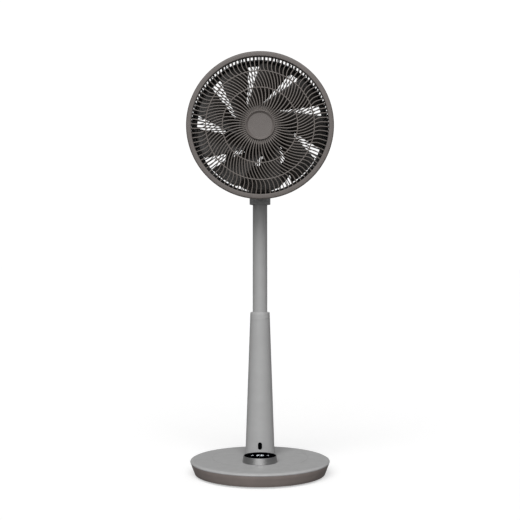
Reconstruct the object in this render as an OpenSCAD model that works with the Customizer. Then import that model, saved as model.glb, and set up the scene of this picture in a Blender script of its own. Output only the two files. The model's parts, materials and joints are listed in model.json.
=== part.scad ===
// Pedestal fan: weighted round base with a control dial, tapered column, telescopic tube,
// panning neck with a tilting yoke, and a caged nine-blade axial head.
// Frame: origin on the floor under the centre of the base, +Z up, the fan blows towards -Y.

/* [Base] */
// Radius of the base at its top edge
base_r = 161.4; // [150:0.1:170]
// Radius of the base at the lower edge of the skirt
base_foot_r = 149.7; // [140:0.1:160]
// Height of the top face above the floor
base_h = 35; // [30:0.5:45]
// Height of the seam between the cover and the skirt
seam_z = 29.4; // [26:0.1:31]
// Height of the rubber feet
foot_h = 4; // [3.5:0.5:8]
// Thickness of the ballast plate
ballast_t = 8; // [5:0.5:9]

/* [Dial] */
// Distance of the dial's axis in front of the base centre
dial_front = 32; // [25:1:40]
// Radius of the dial at its foot
dial_r = 39.6; // [36.8:0.1:45]
// Height of the dial above the base
dial_h = 14.4; // [12:0.1:20]

/* [Column] */
// Distance of the column's axis behind the base centre
column_y = 42; // [35:1:50]
// Radius of the column at its foot
column_r = 34.3; // [32:0.1:40]
// Radius of the column at its top
column_top_r = 22.6; // [22.4:0.1:26]
// Height of the column's top above the floor
column_top = 370; // [300:1:370]

/* [Mast] */
// Outer radius of the telescopic tube
tube_r = 17; // [16:0.1:17]
// Height of the tube's lower end at full extension
tube_low = 290; // [280:1:292]
// Height of the lower edge of the neck's collar
collar_z = 621; // [615:1:625]
// Outer radius of the collar
collar_r = 24.4; // [24:0.1:26]

/* [Head] */
// Height of the head's axis above the floor
head_z = 790.5; // [785:0.5:800]
// Outer radius of the trim ring
ring_r = 164; // [163:0.5:170]
// Radius of the trim ring's inner lip
lip_r = 153.2; // [150:0.1:154]
// Number of ribs between the hub and the first ring of the front grille
inner_ribs = 55; // [40:1:60]
// Number of ribs outside the first ring of the front grille
outer_ribs = 90; // [60:1:96]
// Number of bars in the rear grille
rear_bars = 117; // [80:1:120]
// Number of impeller blades
blades = 9; // [5:1:9]
// Tip radius of the impeller
blade_r = 143; // [120:0.1:146]

/* [Hidden] */
$fn = 96;
wall = 2.6;
slope = (base_r - base_foot_r) / (base_h - foot_h);
column_slope = (column_r - column_top_r) / (column_top - base_h);
plate_top = foot_h + 2.5;
ballast_z = plate_top + 2.5;
deck = ballast_z + ballast_t;      // top of the ballast plate, where the column is bolted
cover_screw_r = 140;               // circles on which screws and feet sit
ballast_screw_r = 110;
foot_circle_r = 126;
flange_screw_r = 36.5;
pod_screw_r = 40;
inlet_z = 17;                      // height of the power inlet's axis
dial_top = base_h + dial_h;
cap_z = column_top - 14.4;         // seam between the column and its cap
tilt_f = -column_y;                // forward place of the tilt axis, over the tube
back_f = 10;                       // forward place of the rear grille's flat back
ring_f = 66;                       // forward place of the trim ring's back edge
ring_depth = 22;
crown_f = 91.5;                    // forward place of the front grille's crown
crown_drop = 8;                    // how far the grille falls from its crown to its rim
hub_cap_r = 33;
rim_out_r = lip_r + 4.4;           // outer radius of both grilles, inside the trim ring
rear_ring_r = 156.2;
side_bar = 3.2;                    // radial depth of the rear grille's side wall
ring1_r = 83.2;                    // radii of the two rings in the front grille
ring2_r = 120.3;
yoke_in = 61.5;                    // half of the gap between the yoke's arms
arm_w = 18;
yoke_y0 = column_y - 18;
yoke_y1 = column_y + 18;
yoke_floor = head_z - 80;
cup_z = 729.5;                     // level of the middle of the yoke's half round
neck_r = 27;
neck_back = 22;                    // how far the neck's rear round lies behind the tube's axis
neck_z0 = 638;
neck_z1 = yoke_floor - arm_w;
pan_gear_teeth = 30;
pan_pinion_teeth = 12;
tilt_gear_teeth = 44;
tilt_pinion_teeth = 14;
pan_gap = (pan_gear_teeth + pan_pinion_teeth) / 2;      // centre distances of module 1 gears
tilt_gap = (tilt_gear_teeth + tilt_pinion_teeth) / 2;
hub_r = 52;
pod_r = 50;

light_grey = "#a3a3a3";
warm_grey = "#6c6763";
black = "#161514";
steel = "#b4b6b8";
board_green = "#2f5b3c";
copper = "#b06a3a";
white_plastic = "#d8d6d0";

// ---- helpers ----------------------------------------------------------------------------

function arc(cx, cy, r, a0, a1, n = 6) =
    [for (i = [0:n]) let (a = a0 + (a1 - a0) * i / n) [cx + r * cos(a), cy + r * sin(a)]];
function base_edge(z) = base_foot_r + slope * (z - foot_h);
function column_edge(z) = column_r - column_slope * (z - base_h);
function dome(r) = crown_f - crown_drop * pow(r / lip_r, 2);

module at_column() { translate([0, column_y, 0]) children(); }

module inlet_axis() { translate([0, 0, inlet_z]) rotate([-90, 0, 0]) children(); }

module at_dial() { translate([0, -dial_front, 0]) children(); }

// Head frame: local x to the right, local y up, local z forward along the fan's axis.
module head_frame() { translate([0, 0, head_z]) rotate([90, 0, 0]) children(); }

// Tilt frame: local z runs along +X through the tilt axis, local x points down.
module tilt_frame() { translate([0, column_y, head_z]) rotate([0, 90, 0]) children(); }

module tube(r_out, r_in, z0, z1) {
    difference() {
        translate([0, 0, z0]) cylinder(r = r_out, h = z1 - z0);
        translate([0, 0, z0 - 1]) cylinder(r = r_in, h = z1 - z0 + 2);
    }
}

module rod(r, z0, z1) { translate([0, 0, z0]) cylinder(r = r, h = z1 - z0); }

module turned(points) { rotate_extrude() polygon(points); }

module around(count, r, start = 0) {
    for (i = [0:count - 1]) rotate([0, 0, start + i * 360 / count]) translate([r, 0, 0]) children();
}

// Involute spur gear outline of module 1 with backlash and shortened tips.
function involute(a) = tan(a) * 180 / PI - a;
module gear_2d(teeth, slack = 0.3) {
    pitch = teeth / 2;
    base = pitch * cos(20);
    tip = pitch + 0.8;
    root = pitch - 1.15;
    function half(r) = 90 / teeth - slack / 2 / pitch * 180 / PI + involute(20)
        - (r > base ? involute(acos(base / r)) : 0);
    radii = [for (k = [0:3]) let (low = max(root, base)) low + (tip - low) * k / 3];
    polygon([for (i = [0:teeth - 1]) let (c = i * 360 / teeth) each concat(
        [[root * cos(c - half(root)), root * sin(c - half(root))]],
        [for (r = radii) [r * cos(c - half(r)), r * sin(c - half(r))]],
        [for (k = [3:-1:0]) let (r = radii[k]) [r * cos(c + half(r)), r * sin(c + half(r))]],
        [[root * cos(c + half(root)), root * sin(c + half(root))]])]);
}

// Closed solid from rows of points, each row being one closed outline of the same length, which
// runs against the clock as seen from the row after it.
module loft(rows) {
    n = len(rows[0]);
    last = len(rows) - 1;
    polyhedron(
        points = [for (row = rows) each row],
        faces = concat(
            [[for (i = [0:n - 1]) i]],
            [for (k = [0:last - 1], i = [0:n - 1]) let (a = k * n + i, b = k * n + (i + 1) % n)
                each [[a, b + n, b], [a, a + n, b + n]]],
            [[for (i = [n - 1:-1:0]) last * n + i]]));
}

function polar(r, a, z) = [r * cos(a), r * sin(a), z];

// ---- base -------------------------------------------------------------------------------

module base_top_cover() color(light_grey) {
    difference() {
        union() {
            turned([[0, base_h], [base_r - 9, base_h], [base_r - 5, base_h - 0.8],
                [base_r - 2, base_h - 2.4], [base_edge(base_h - 4), base_h - 4],
                [base_edge(seam_z), seam_z], [base_edge(seam_z) - wall, seam_z],
                [base_edge(seam_z) - wall, seam_z + 2.1], [base_r - 11, base_h - wall],
                [0, base_h - wall]]);
            around(6, cover_screw_r) rod(5, plate_top, base_h - wall + 0.1);
            for (x = [-112, -52], y = [-36, 36]) translate([x, y, 0]) rod(3, 26, base_h - wall + 0.1);
        }
        around(6, cover_screw_r) rod(1.6, plate_top - 1, 27);
        translate([0, 20, 0]) tube(111.3, 110.7, base_h - 0.6, base_h + 1);
        at_column() rod(29.5, 20, base_h + 1);
        at_dial() rod(30.3, 20, base_h + 1);
    }
}

module base_skirt() color(warm_grey) {
    lip = base_edge(seam_z) - wall - 0.4;
    difference() {
        turned([[base_foot_r, foot_h], [base_edge(seam_z - 0.3), seam_z - 0.3], [lip, seam_z - 0.3],
            [lip, seam_z + 2], [lip - 1.6, seam_z + 2], [lip - 1.6, seam_z - 4],
            [base_foot_r - wall, foot_h]]);
        inlet_axis() rod(5.4, 140, 165);
    }
}

module base_bottom_plate() color(black) {
    difference() {
        union() {
            rod(base_foot_r - wall - 0.2, foot_h, plate_top);
            around(6, ballast_screw_r, 30) rod(7, plate_top - 0.1, ballast_z);
        }
        around(6, cover_screw_r) rod(1.6, foot_h - 1, plate_top + 1);
        around(6, foot_circle_r) rod(4, foot_h - 1, plate_top + 1);
        around(6, ballast_screw_r, 30) rod(2.1, foot_h - 1, ballast_z + 1);
    }
}

module ballast_plate() color("#3a3b3d") {
    difference() {
        rod(132, ballast_z, deck);
        around(6, ballast_screw_r, 30) rod(2.1, ballast_z - 1, deck + 1);
        at_column() around(4, flange_screw_r, 45) rod(2.55, ballast_z - 1, deck + 1);
    }
}

module rubber_feet() color(black) {
    around(6, foot_circle_r) {
        rod(9, 0, foot_h);
        rod(3.95, foot_h - 0.1, plate_top);
    }
}

// Six cover screws and six ballast screws, all driven from below.
module base_screws() color(steel) {
    around(6, cover_screw_r) {
        rod(3.4, foot_h - 1.8, foot_h);
        rod(1.5, foot_h - 0.1, 26.5);
    }
    around(6, ballast_screw_r, 30) {
        rod(4, foot_h - 2.2, foot_h);
        rod(2, foot_h - 0.1, deck - 1);
    }
}

module main_board() color(board_green) {
    difference() {
        translate([-116, -40, 24.4]) cube([68, 80, 1.6]);
        for (x = [-112, -52], y = [-36, 36]) translate([x, y, 0]) rod(1.2, 24, 27);
    }
    translate([-100, -20, 20.4]) cube([16, 16, 4.1]);
    translate([-74, -28, 21.4]) cube([18, 12, 3.1]);
    translate([-66, 18, 0]) rod(5, 20, 24.5);
    translate([-82, 18, 0]) rod(5, 20, 24.5);
    translate([-104, 12, 20.9]) cube([10, 20, 3.6]);
}

// Low-voltage inlet at the back, along +Y.
module power_inlet() color(black) {
    face_y = base_edge(inlet_z) + 0.3;
    difference() {
        union() {
            translate([-7, 133, inlet_z - 5.5]) cube([14, 13, 11]);
            inlet_axis() rod(5.2, 145, face_y);
        }
        inlet_axis() tube(2.85, 1.05, face_y - 10, face_y + 1);
    }
}

// ---- dial -------------------------------------------------------------------------------

module dial_seat() color(black) at_dial() {
    difference() {
        union() {
            rod(30, 24, dial_top - 6.4);
            tube(34, 29, base_h - wall - 3, base_h - wall);
        }
        rod(26.5, 23, dial_top - 9.4);
        rod(4, 20, dial_top);
    }
}

module dial_ring() color("#8d8a87") at_dial() {
    top_r = dial_r - 2;
    turned(concat([[30.06, base_h + 0.8], [dial_r, base_h + 0.5]],
        arc(top_r - 0.8, dial_top - 0.8, 0.8, 0, 90, 3),
        [[36.3, dial_top], [36.3, base_h + 4.5], [30.06, base_h + 4.5]]));
}

module display_tray() color(black) at_dial() {
    difference() {
        rod(35.9, dial_top - 6.3, dial_top - 2);
        rod(33.4, dial_top - 4.6, dial_top - 1);
        rod(4, dial_top - 10, dial_top);
    }
}

module display_board() color(board_green) at_dial() {
    difference() {
        union() {
            rod(33, dial_top - 4.5, dial_top - 3);
            translate([-14, -7, dial_top - 3.1]) cube([28, 14, 0.9]);
        }
        for (x = [-28, 28]) translate([x, 0, 0]) rod(1.2, dial_top - 6, dial_top);
    }
}

module display_glass() color("#050506") at_dial() rod(35.9, dial_top - 2, dial_top);

// ---- column -----------------------------------------------------------------------------

tube_seat = deck + 7;

module column_flange() color("#4a4a4b") at_column() {
    difference() {
        union() {
            rod(46, deck, deck + 4);
            rod(27, deck, 60);
        }
        rod(20.55, tube_seat, 61);
        rod(12, deck - 1, tube_seat + 1);
        around(4, flange_screw_r, 45) rod(2.6, deck - 1, deck + 5);
    }
}

module flange_screws() color(steel) at_column() {
    around(4, flange_screw_r, 45) {
        rod(4.3, deck + 4, deck + 8);
        rod(2.5, ballast_z + 1, deck + 4.1);
    }
}

module inner_tube() color(steel) at_column() tube(20.5, 19, tube_seat, 345);

// Upright pill-shaped prism on the front of the column.
pill_r = 4.7;
pill_half = 3.6;
pill_z = 62.7;
module pill(grow) {
    translate([0, 0, pill_z]) rotate([90, 0, 0]) linear_extrude(60) union() {
        translate([0, pill_half]) circle(pill_r + grow);
        translate([0, -pill_half]) circle(pill_r + grow);
        translate([-pill_r - grow, -pill_half]) square([2 * (pill_r + grow), 2 * pill_half]);
    }
}

module column_cone(inset, z0, z1) {
    translate([0, 0, z0])
        cylinder(r1 = column_edge(z0) - inset, r2 = column_edge(z1) - inset, h = z1 - z0);
}

module column_shell() color(light_grey) at_column() {
    difference() {
        column_cone(0, base_h, cap_z - 0.3);
        column_cone(wall, base_h - 1, cap_z + 1);
        pill(0.1);
    }
}

module ir_window() color(black) at_column() {
    intersection() {
        pill(0);
        difference() {
            column_cone(0.2, pill_z - 12, pill_z + 12);
            column_cone(3.4, pill_z - 13, pill_z + 13);
        }
    }
}

module column_cap() color(light_grey) at_column() {
    mid = cap_z + 6.6;
    turned([[column_edge(cap_z), cap_z], [column_edge(mid), mid], [column_edge(mid) - 0.4, mid + 0.2],
        [column_edge(mid), mid + 0.6], [column_edge(column_top) - 0.05, column_top - 1.2],
        [column_top_r - 1.2, column_top], [tube_r + 0.4, column_top], [tube_r + 0.4, cap_z - 5],
        [20, cap_z - 5], [20, cap_z]]);
}

module guide_bush() color(white_plastic) at_column() {
    tube(18.9, tube_r + 0.06, 325, 345.1);
    tube(20.4, tube_r + 0.06, 345, cap_z - 5.4);
}

// ---- mast -------------------------------------------------------------------------------

mast_top = 632;

module extension_tube() color(light_grey) at_column() tube(tube_r, tube_r - 1.5, tube_low, mast_top);

module tube_slider() color(white_plastic) at_column() {
    tube(18.94, tube_r + 0.02, tube_low - 0.1, tube_low + 30);
    tube(18.94, 13, tube_low - 4, tube_low);
}

module mast_head() color("#4a4a4b") at_column() {
    difference() {
        union() {
            rod(tube_r - 1.52, mast_top - 38, mast_top + 0.1);
            rod(21, mast_top, mast_top + 4);
            rod(11, mast_top + 3.9, 653.2);
        }
        rod(6, mast_top - 39, 660);
    }
}

module pan_gear() color(white_plastic) at_column() {
    difference() {
        translate([0, 0, 647]) linear_extrude(6) gear_2d(pan_gear_teeth);
        rod(11.02, 640, 660);
    }
}

// Cap screwed onto the post, which keeps the neck from lifting off.
module pan_retainer() color(steel) at_column() {
    tube(13, 6, 653.25, 655.4);
}

module thrust_washer() color(white_plastic) at_column() tube(20, 11.3, mast_top + 4, neck_z0 - 0.3);

// ---- neck -------------------------------------------------------------------------------

module neck_outline(grow) {
    translate([0, column_y]) circle(neck_r + grow);
    translate([0, column_y + neck_back]) circle(neck_r + grow);
    translate([-neck_r - grow, column_y]) square([2 * (neck_r + grow), neck_back]);
}

// Half round of the yoke's and the neck's underside in the XZ plane, open at the top.
module half_round(inset, top_z) {
    translate([0, cup_z]) circle(yoke_in + arm_w - inset);
    translate([-yoke_in - arm_w + inset, cup_z]) square([2 * (yoke_in + arm_w - inset), top_z - cup_z]);
}

// Prism of an XZ outline between two y values.
module front_prism(y0, y1) { translate([0, y1, 0]) rotate([90, 0, 0]) linear_extrude(y1 - y0) children(); }

// The neck's body between two levels: an upright pill round the tube with cheeks under the yoke.
module neck_body(inset, z0, z1) {
    translate([0, 0, z0]) linear_extrude(z1 - z0) union() neck_outline(-inset);
    intersection() {
        front_prism(yoke_y0 + inset, yoke_y1 - inset) union() half_round(inset, head_z);
        translate([-100, 0, z0]) cube([200, 100, z1 - z0]);
    }
}

split_y = column_y + neck_back;

spigot_r = 22.9;                   // neck's spigot, which the collar is pressed on

module neck_collar() color(light_grey) at_column() {
    mid = collar_z + 5.4;
    turned([[spigot_r + 0.02, collar_z], [collar_r - 0.6, collar_z], [collar_r, collar_z + 0.6],
        [collar_r, mid], [collar_r - 0.5, mid + 0.3], [collar_r, mid + 0.6], [collar_r, neck_z0 - 0.1],
        [spigot_r + 0.02, neck_z0 - 0.1]]);
}

module yoke_screw_places() { for (x = [-14, 14]) translate([x, yoke_y0 + 8, 0]) children(); }

module neck_shell() color(warm_grey) {
    difference() {
        union() {
            difference() {
                union() neck_body(0, neck_z0, neck_z1);
                union() neck_body(wall, neck_z0 + 3, neck_z1 - 3);
                translate([-50, split_y, neck_z0 - 1]) cube([100, 60, neck_z1 - neck_z0 + 2]);
            }
            at_column() tube(spigot_r, 21.5, collar_z + 1, neck_z0 + 0.1);
            at_column() tube(16, 14, neck_z0 + 2.9, 645);
        }
        at_column() rod(14, neck_z0 - 1, neck_z0 + 4);
        yoke_screw_places() rod(2.1, neck_z1 - 10, neck_z1 + 1);
    }
}

module neck_rear_cover() color(warm_grey) {
    difference() {
        translate([0, 0, neck_z0]) linear_extrude(neck_z1 - neck_z0) union() neck_outline(0);
        translate([0, 0, neck_z0 + 3]) linear_extrude(neck_z1 - neck_z0 - 6) union() neck_outline(-wall);
        translate([-50, -50, neck_z0 - 1]) cube([100, 50 + split_y + 0.2, neck_z1 - neck_z0 + 2]);
    }
}

module pan_bush() color(white_plastic) at_column() tube(13.95, 11.06, neck_z0 + 0.1, 645.6);

module pan_motor() color(steel) translate([0, column_y + pan_gap, 0]) {
    difference() {
        union() {
            rod(12, 657, 672);
            translate([-17.5, -3.5, 657]) cube([35, 7, 1.2]);
        }
        rod(2.06, 655, 665);
        for (x = [-15, 15]) translate([x, 0, 0]) rod(1.4, 656, 660);
    }
}

module pan_pinion() color(white_plastic) translate([0, column_y + pan_gap, 0]) {
    translate([0, 0, 647.3]) linear_extrude(5.4) gear_2d(pan_pinion_teeth);
    rod(3.4, 652.6, 654.4);
    rod(2, 654.3, 664);
}

// ---- yoke -------------------------------------------------------------------------------

// Half-round-bottomed U outline in the XZ plane, inset from the outer faces by the given amounts.
module cup_outline(half_w, floor_z, r, top_z) {
    for (s = [-1, 1]) translate([s * (half_w - r), floor_z + r]) circle(r);
    translate([-half_w, floor_z + r]) square([2 * half_w, top_z - floor_z - r]);
    translate([-half_w + r, floor_z]) square([2 * (half_w - r), r + 1]);
}

// The yoke ends flat on the neck, whose cheeks carry the same half round on downwards.
module yoke_outline(inset) {
    difference() {
        intersection() {
            union() half_round(inset, head_z + 20);
            translate([-100, neck_z1 + inset]) square([200, 200]);
        }
        union() cup_outline(yoke_in + inset, yoke_floor - inset, 30 + inset, head_z + 30);
    }
}

// Rounded arm tops: everything below a half-round about the tilt axis.
module arm_round(inset) {
    translate([-100, 0, 0]) rotate([90, 0, 90]) linear_extrude(200) union() {
        translate([column_y, head_z]) circle(18 - inset);
        translate([column_y - 18 + inset, 600]) square([36 - 2 * inset, head_z - 600]);
    }
}

module yoke_frame() color(warm_grey) {
    difference() {
        union() {
            difference() {
                intersection() {
                    front_prism(yoke_y0, yoke_y1 - 2.4) yoke_outline(0);
                    arm_round(0);
                }
                intersection() {
                    front_prism(yoke_y0 + 2.4, yoke_y1) yoke_outline(2.2);
                    arm_round(2.4);
                }
            }
            for (s = [0, 1]) mirror([s, 0, 0]) tilt_frame() rod(11, yoke_in + 0.5, yoke_in + 12);
        }
        for (s = [0, 1]) mirror([s, 0, 0]) tilt_frame() rod(8, yoke_in - 1, yoke_in + 13);
        translate([0, column_y, head_z - tilt_gap]) rotate([0, -90, 0]) rod(4, yoke_in - 1, yoke_in + 3);
        yoke_screw_places() rod(1.6, neck_z1 - 1, neck_z1 + 3);
    }
}

module yoke_rear_cover() color(warm_grey) {
    intersection() {
        front_prism(yoke_y1 - 2.3, yoke_y1) yoke_outline(0);
        arm_round(0);
    }
}

module yoke_screws() color(steel) {
    yoke_screw_places() {
        rod(3.4, neck_z1 - 5.2, neck_z1 - 3);
        rod(1.5, neck_z1 - 3.1, neck_z1 + 4);
    }
}

module tilt_bushes() color(white_plastic) {
    for (s = [0, 1]) mirror([s, 0, 0]) tilt_frame() {
        tube(7.95, 5.06, yoke_in - 0.1, yoke_in + 12);
        tube(9.5, 5.06, yoke_in - 1.2, yoke_in);
    }
}

module tilt_motor() color(steel) translate([0, column_y, head_z - tilt_gap]) rotate([0, -90, 0]) {
    difference() {
        rod(12, yoke_in + 2.6, yoke_in + 15);
        rod(2.06, yoke_in, yoke_in + 10);
    }
}

// The pinion sits straight below the tilt axis, with a gap turned towards the gear.
module tilt_pinion() color(white_plastic) translate([0, column_y, head_z - tilt_gap]) rotate([0, -90, 0]) {
    translate([0, 0, 52.6]) linear_extrude(5.4) rotate(180 / tilt_pinion_teeth) gear_2d(tilt_pinion_teeth);
    rod(3, 57.9, 60.4);
    rod(2, 60.3, yoke_in + 9.4);
}

// ---- head: pivots and pod ---------------------------------------------------------------

module tilt_pins() color(steel) {
    for (s = [0, 1]) mirror([s, 0, 0]) tilt_frame() {
        rod(5, 40.5, yoke_in + 12.5);
        rod(8, yoke_in + 12.4, yoke_in + 15);
    }
}

module tilt_gear() color(white_plastic) {
    mirror([1, 0, 0]) tilt_frame() difference() {
        translate([0, 0, 52]) linear_extrude(6) gear_2d(tilt_gear_teeth);
        rod(5.05, 50, 60);
    }
}

module friction_washer() color(steel) tilt_frame() tube(12, 5.05, 52, 59.6);

module pod_bosses() {
    for (s = [0, 1]) mirror([s, 0, 0]) tilt_frame() rod(16, 40, 51.8);
}

module pod_bores() {
    for (s = [0, 1]) mirror([s, 0, 0]) tilt_frame() rod(5.05, 38, 53);
}

pod_split = tilt_f;
vent_r = 28;

module pod_profile() {
    polygon(concat([[0, -96]], arc(pod_r - 30, -66, 30, -90, 0, 8),
        arc(pod_r - 5, 1, 5, 0, 90, 4), [[22, 6], [22, 22], [15, 22], [15, 3]],
        [[pod_r - 5, 3]], arc(pod_r - 5, -2, 2.4, 60, 0, 2),
        [[pod_r - wall, -66]], arc(pod_r - 30, -66, 30 - wall, 0, -90, 8), [[0, -96 + wall]]));
}

module pod_whole() {
    head_frame() rotate_extrude() pod_profile();
}

module pod_front_shell() color(warm_grey) {
    difference() {
        union() {
            pod_whole();
            pod_bosses();
        }
        pod_bores();
        head_frame() translate([-60, -60, -110]) cube([120, 120, 110 + pod_split]);
        head_frame() around(4, pod_screw_r) rod(1.7, -1, 8);
    }
}

module pod_rear_shell() color(warm_grey) {
    difference() {
        union() {
            pod_whole();
            pod_bosses();
        }
        pod_bores();
        head_frame() translate([-60, -60, pod_split - 0.2]) cube([120, 120, 110]);
        head_frame() for (y = [-24:8:24]) let (half = sqrt(vent_r * vent_r - y * y))
            translate([-half, y - 1.5, -100]) cube([2 * half, 3, 12]);
    }
}

// Four screws that clamp the motor bracket to the pod's front plate.
module pod_screws() color(steel) head_frame() around(4, pod_screw_r) {
    rod(1.6, 0, 6.1);
    rod(3.2, 6, 7.8);
}

// ---- head: motor ------------------------------------------------------------------------

module motor_bracket() color("#9a9c9e") head_frame() {
    difference() {
        union() {
            rod(44, 0, 3);
            rod(14, -52, 0.1);
        }
        rod(9, -60, 10);
        rod(11.05, -8, 4);
        rod(11.05, -53, -43);
        around(4, pod_screw_r) rod(1.65, -1, 4);
    }
}

module stator_core() color("#5b5e61") head_frame() {
    difference() {
        union() {
            tube(19, 14.05, -42, -22);
            tube(30.2, 27.6, -42, -22);
            around(12, 0) translate([18, -1.8, -42]) cube([10, 3.6, 20]);
        }
        around(12, 0, 15) translate([26, -1, -43]) cube([6, 2, 22]);
    }
}

// One winding round each stator pole.
module stator_coils() color(copper) head_frame() around(12, 0) {
    for (s = [-1, 1]) translate([19.6, s * 2.9 - 0.9, -44.2]) cube([7.6, 1.8, 24.4]);
    for (z = [-44.2, -21.6]) translate([19.6, -3, z]) cube([7.6, 6, 1.8]);
}

module motor_bearings() color(steel) head_frame() {
    for (z = [-8, -50]) {
        tube(11, 9.2, z, z + 7);
        tube(6.2, 4.06, z, z + 7);
        around(8, 7.7) translate([0, 0, z + 3.5]) sphere(r = 1.45, $fn = 24);
        tube(9.3, 6.5, z + 0.3, z + 1);
    }
}

module motor_board() color(board_green) head_frame() {
    difference() {
        rod(42, -71, -69.4);
        rod(5, -72, -68);
    }
    translate([10, -8, -74]) cube([16, 16, 3.1]);
    translate([-30, -6, -75]) cube([12, 12, 4.1]);
    translate([-8, 20, -73.5]) cube([14, 8, 2.6]);
}

module rotor_cup() color("#b8babc") head_frame() {
    difference() {
        rod(36.4, -60, -16);
        rod(34.6, -57.5, -15);
        around(6, 22) rod(4, -61, -57);
        rod(4.02, -70, 0);
    }
    tube(8, 4.02, -64, -59.9);
}

module magnet_ring() color("#35363a") head_frame() tube(34.5, 31.2, -50, -17);

module motor_shaft() color(steel) head_frame() rod(4, -66, 76);

// ---- head: impeller ---------------------------------------------------------------------

// One blade: rows from root to tip, each a thin cambered section. The gaps between the blades
// run straight, at blade_lean from the axis, so the blades lean round the hub.
blade_lean = 37;
blade_f = 48;                      // forward place of a blade's edges, on average
blade_rows = 5;
blade_cols = 4;
blade_t = 2;
blade_camber = 3.5;
root_bury = 1.4;                   // how deep a blade's root is sunk into the hub
function blade_mid(r) = asin(blade_lean / r) + 180 / blades;
function blade_half(r) = 17.4 - 3 * (r - hub_r) / (blade_r - hub_r);
function blade_rise(r) = 10 - 1.5 * (r - hub_r) / (blade_r - hub_r);
function blade_point(r, j, side) = let (v = 2 * j / blade_cols - 1)
    polar(r, blade_mid(r) + v * blade_half(r),
        blade_f + v * blade_rise(r) + blade_camber * (1 - v * v) + side * blade_t / 2);
function blade_row(k) = let (r = hub_r - root_bury + (blade_r - hub_r + root_bury) * k / blade_rows) concat(
    [for (j = [0:blade_cols]) blade_point(r, j, -1)],
    [for (j = [blade_cols:-1:0]) blade_point(r, j, 1)]);

module impeller() color("#241e1b") head_frame() {
    difference() {
        union() {
            rotate_extrude($fn = 45) polygon([[hub_r, 24], [hub_r, 58], [hub_r - 3, 62], [hub_r - 10, 64.5],
                [8, 65.8], [8, 63], [hub_r - 10, 61.8], [hub_r - 5, 59.6], [hub_r - 2.4, 57],
                [hub_r - 2.4, 24]]);
            rod(9, 40, 66, $fn = 24);
            around(6, 0) translate([8, -1, 50]) cube([hub_r - 10, 2, 12.4]);
            around(blades, 0) loft([for (k = [0:blade_rows]) blade_row(k)]);
            around(blades, hub_r - 1, blade_mid(hub_r + 1)) blade_root();
        }
        rod(4.08, 30, 70, $fn = 24);
    }
}

// Thickened foot in the middle of a blade's root.
module blade_root() {
    hull() {
        translate([0, -4, blade_f]) cube([1, 8, 7]);
        translate([6, -2, blade_f + 2]) cube([1, 4, 3]);
    }
}

module impeller_nut() color(black) head_frame() {
    difference() {
        turned([[0, 66.1], [15, 66.1], [15, 68], [11, 76], [7, 79], [0, 79.6]]);
        rod(4.05, 60, 76.2);
    }
}

// ---- head: guards -----------------------------------------------------------------------

module ring_2d(r_out, r_in) {
    difference() {
        circle(r_out);
        circle(r_in);
    }
}

module slab(z0, z1) { translate([0, 0, z0]) linear_extrude(z1 - z0) union() children(); }

module rear_grille() color(black) head_frame() {
    slab(back_f - 2, back_f + 1.6) {
        for (i = [0:rear_bars - 1]) rotate(i * 360 / rear_bars) translate([60, -1.2]) square([88, 2.4]);
        ring_2d(rear_ring_r, rear_ring_r - 11.6);
        ring_2d(62, 22.3);
    }
    slab(back_f + 1, ring_f - 3)
        for (i = [0:rear_bars - 1]) rotate(i * 360 / rear_bars)
            translate([rear_ring_r - side_bar, -1.7]) square([side_bar, 3.4]);
    tube(rim_out_r, rim_out_r - 2.6, ring_f - 4, ring_f + 2);
    tube(rear_ring_r, rear_ring_r - 11.6, back_f - 3, back_f - 1.9);
    tube(rear_ring_r, rear_ring_r - side_bar, back_f + 1.5, back_f + 21.5);
}

module grille_nut() color(black) head_frame() {
    difference() {
        union() {
            tube(34, 22.1, back_f + 1.7, back_f + 7.5);
            around(8, 34) translate([-2, -4, back_f + 1.7]) cube([5, 8, 5.8]);
        }
        rod(22.1, 0, 40);
    }
}

// Turn of the front ribs, in degrees against the clock as the fan is seen from the front. The
// inner ribs leave the hub straight and curl; the outer ones lean, then run straight to the rim.
function sweep_in(r) = -1.6 + 0.0143 * pow(max(0, r - 44.2), 1.66);
function sweep_out(r) =
    r < 91 ? -1.67 + 0.19 * (r - 83.1) + 0.0051 * pow(r - 83.1, 2) :
    r < 119.4 ? 0.17 + 0.272 * (r - 91) + 0.0009 * pow(r - 91, 2) :
    r < 135.5 ? 8.61 + 0.3076 * (r - 119.4) - 0.00955 * pow(r - 119.4, 2) : 11.09 - 0.025 * (r - 135.5);

// Outline of one curved rib between two radii, seen flat.
function rib_side(r0, r1, steps, half_w, inner) = [for (k = [0:steps]) let (
    r = r0 + (r1 - r0) * k / steps,
    a = (inner ? sweep_in(r) : sweep_out(r)) + half_w / r * 180 / PI) [r * cos(a), r * sin(a)]];
function flip(points) = [for (k = [len(points) - 1:-1:0]) points[k]];
module front_ribs(count, r0, r1, steps, w, inner) {
    for (i = [0:count - 1]) rotate(i * 360 / count)
        polygon(concat(flip(rib_side(r0, r1, steps, w / 2, inner)), rib_side(r0, r1, steps, -w / 2, inner)));
}

crown = dome(60);                  // front of the flat zone inside the first ring
dip = 3.6;                         // how far the ribs sink between that zone and the hub
dip_r = 44;

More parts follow.
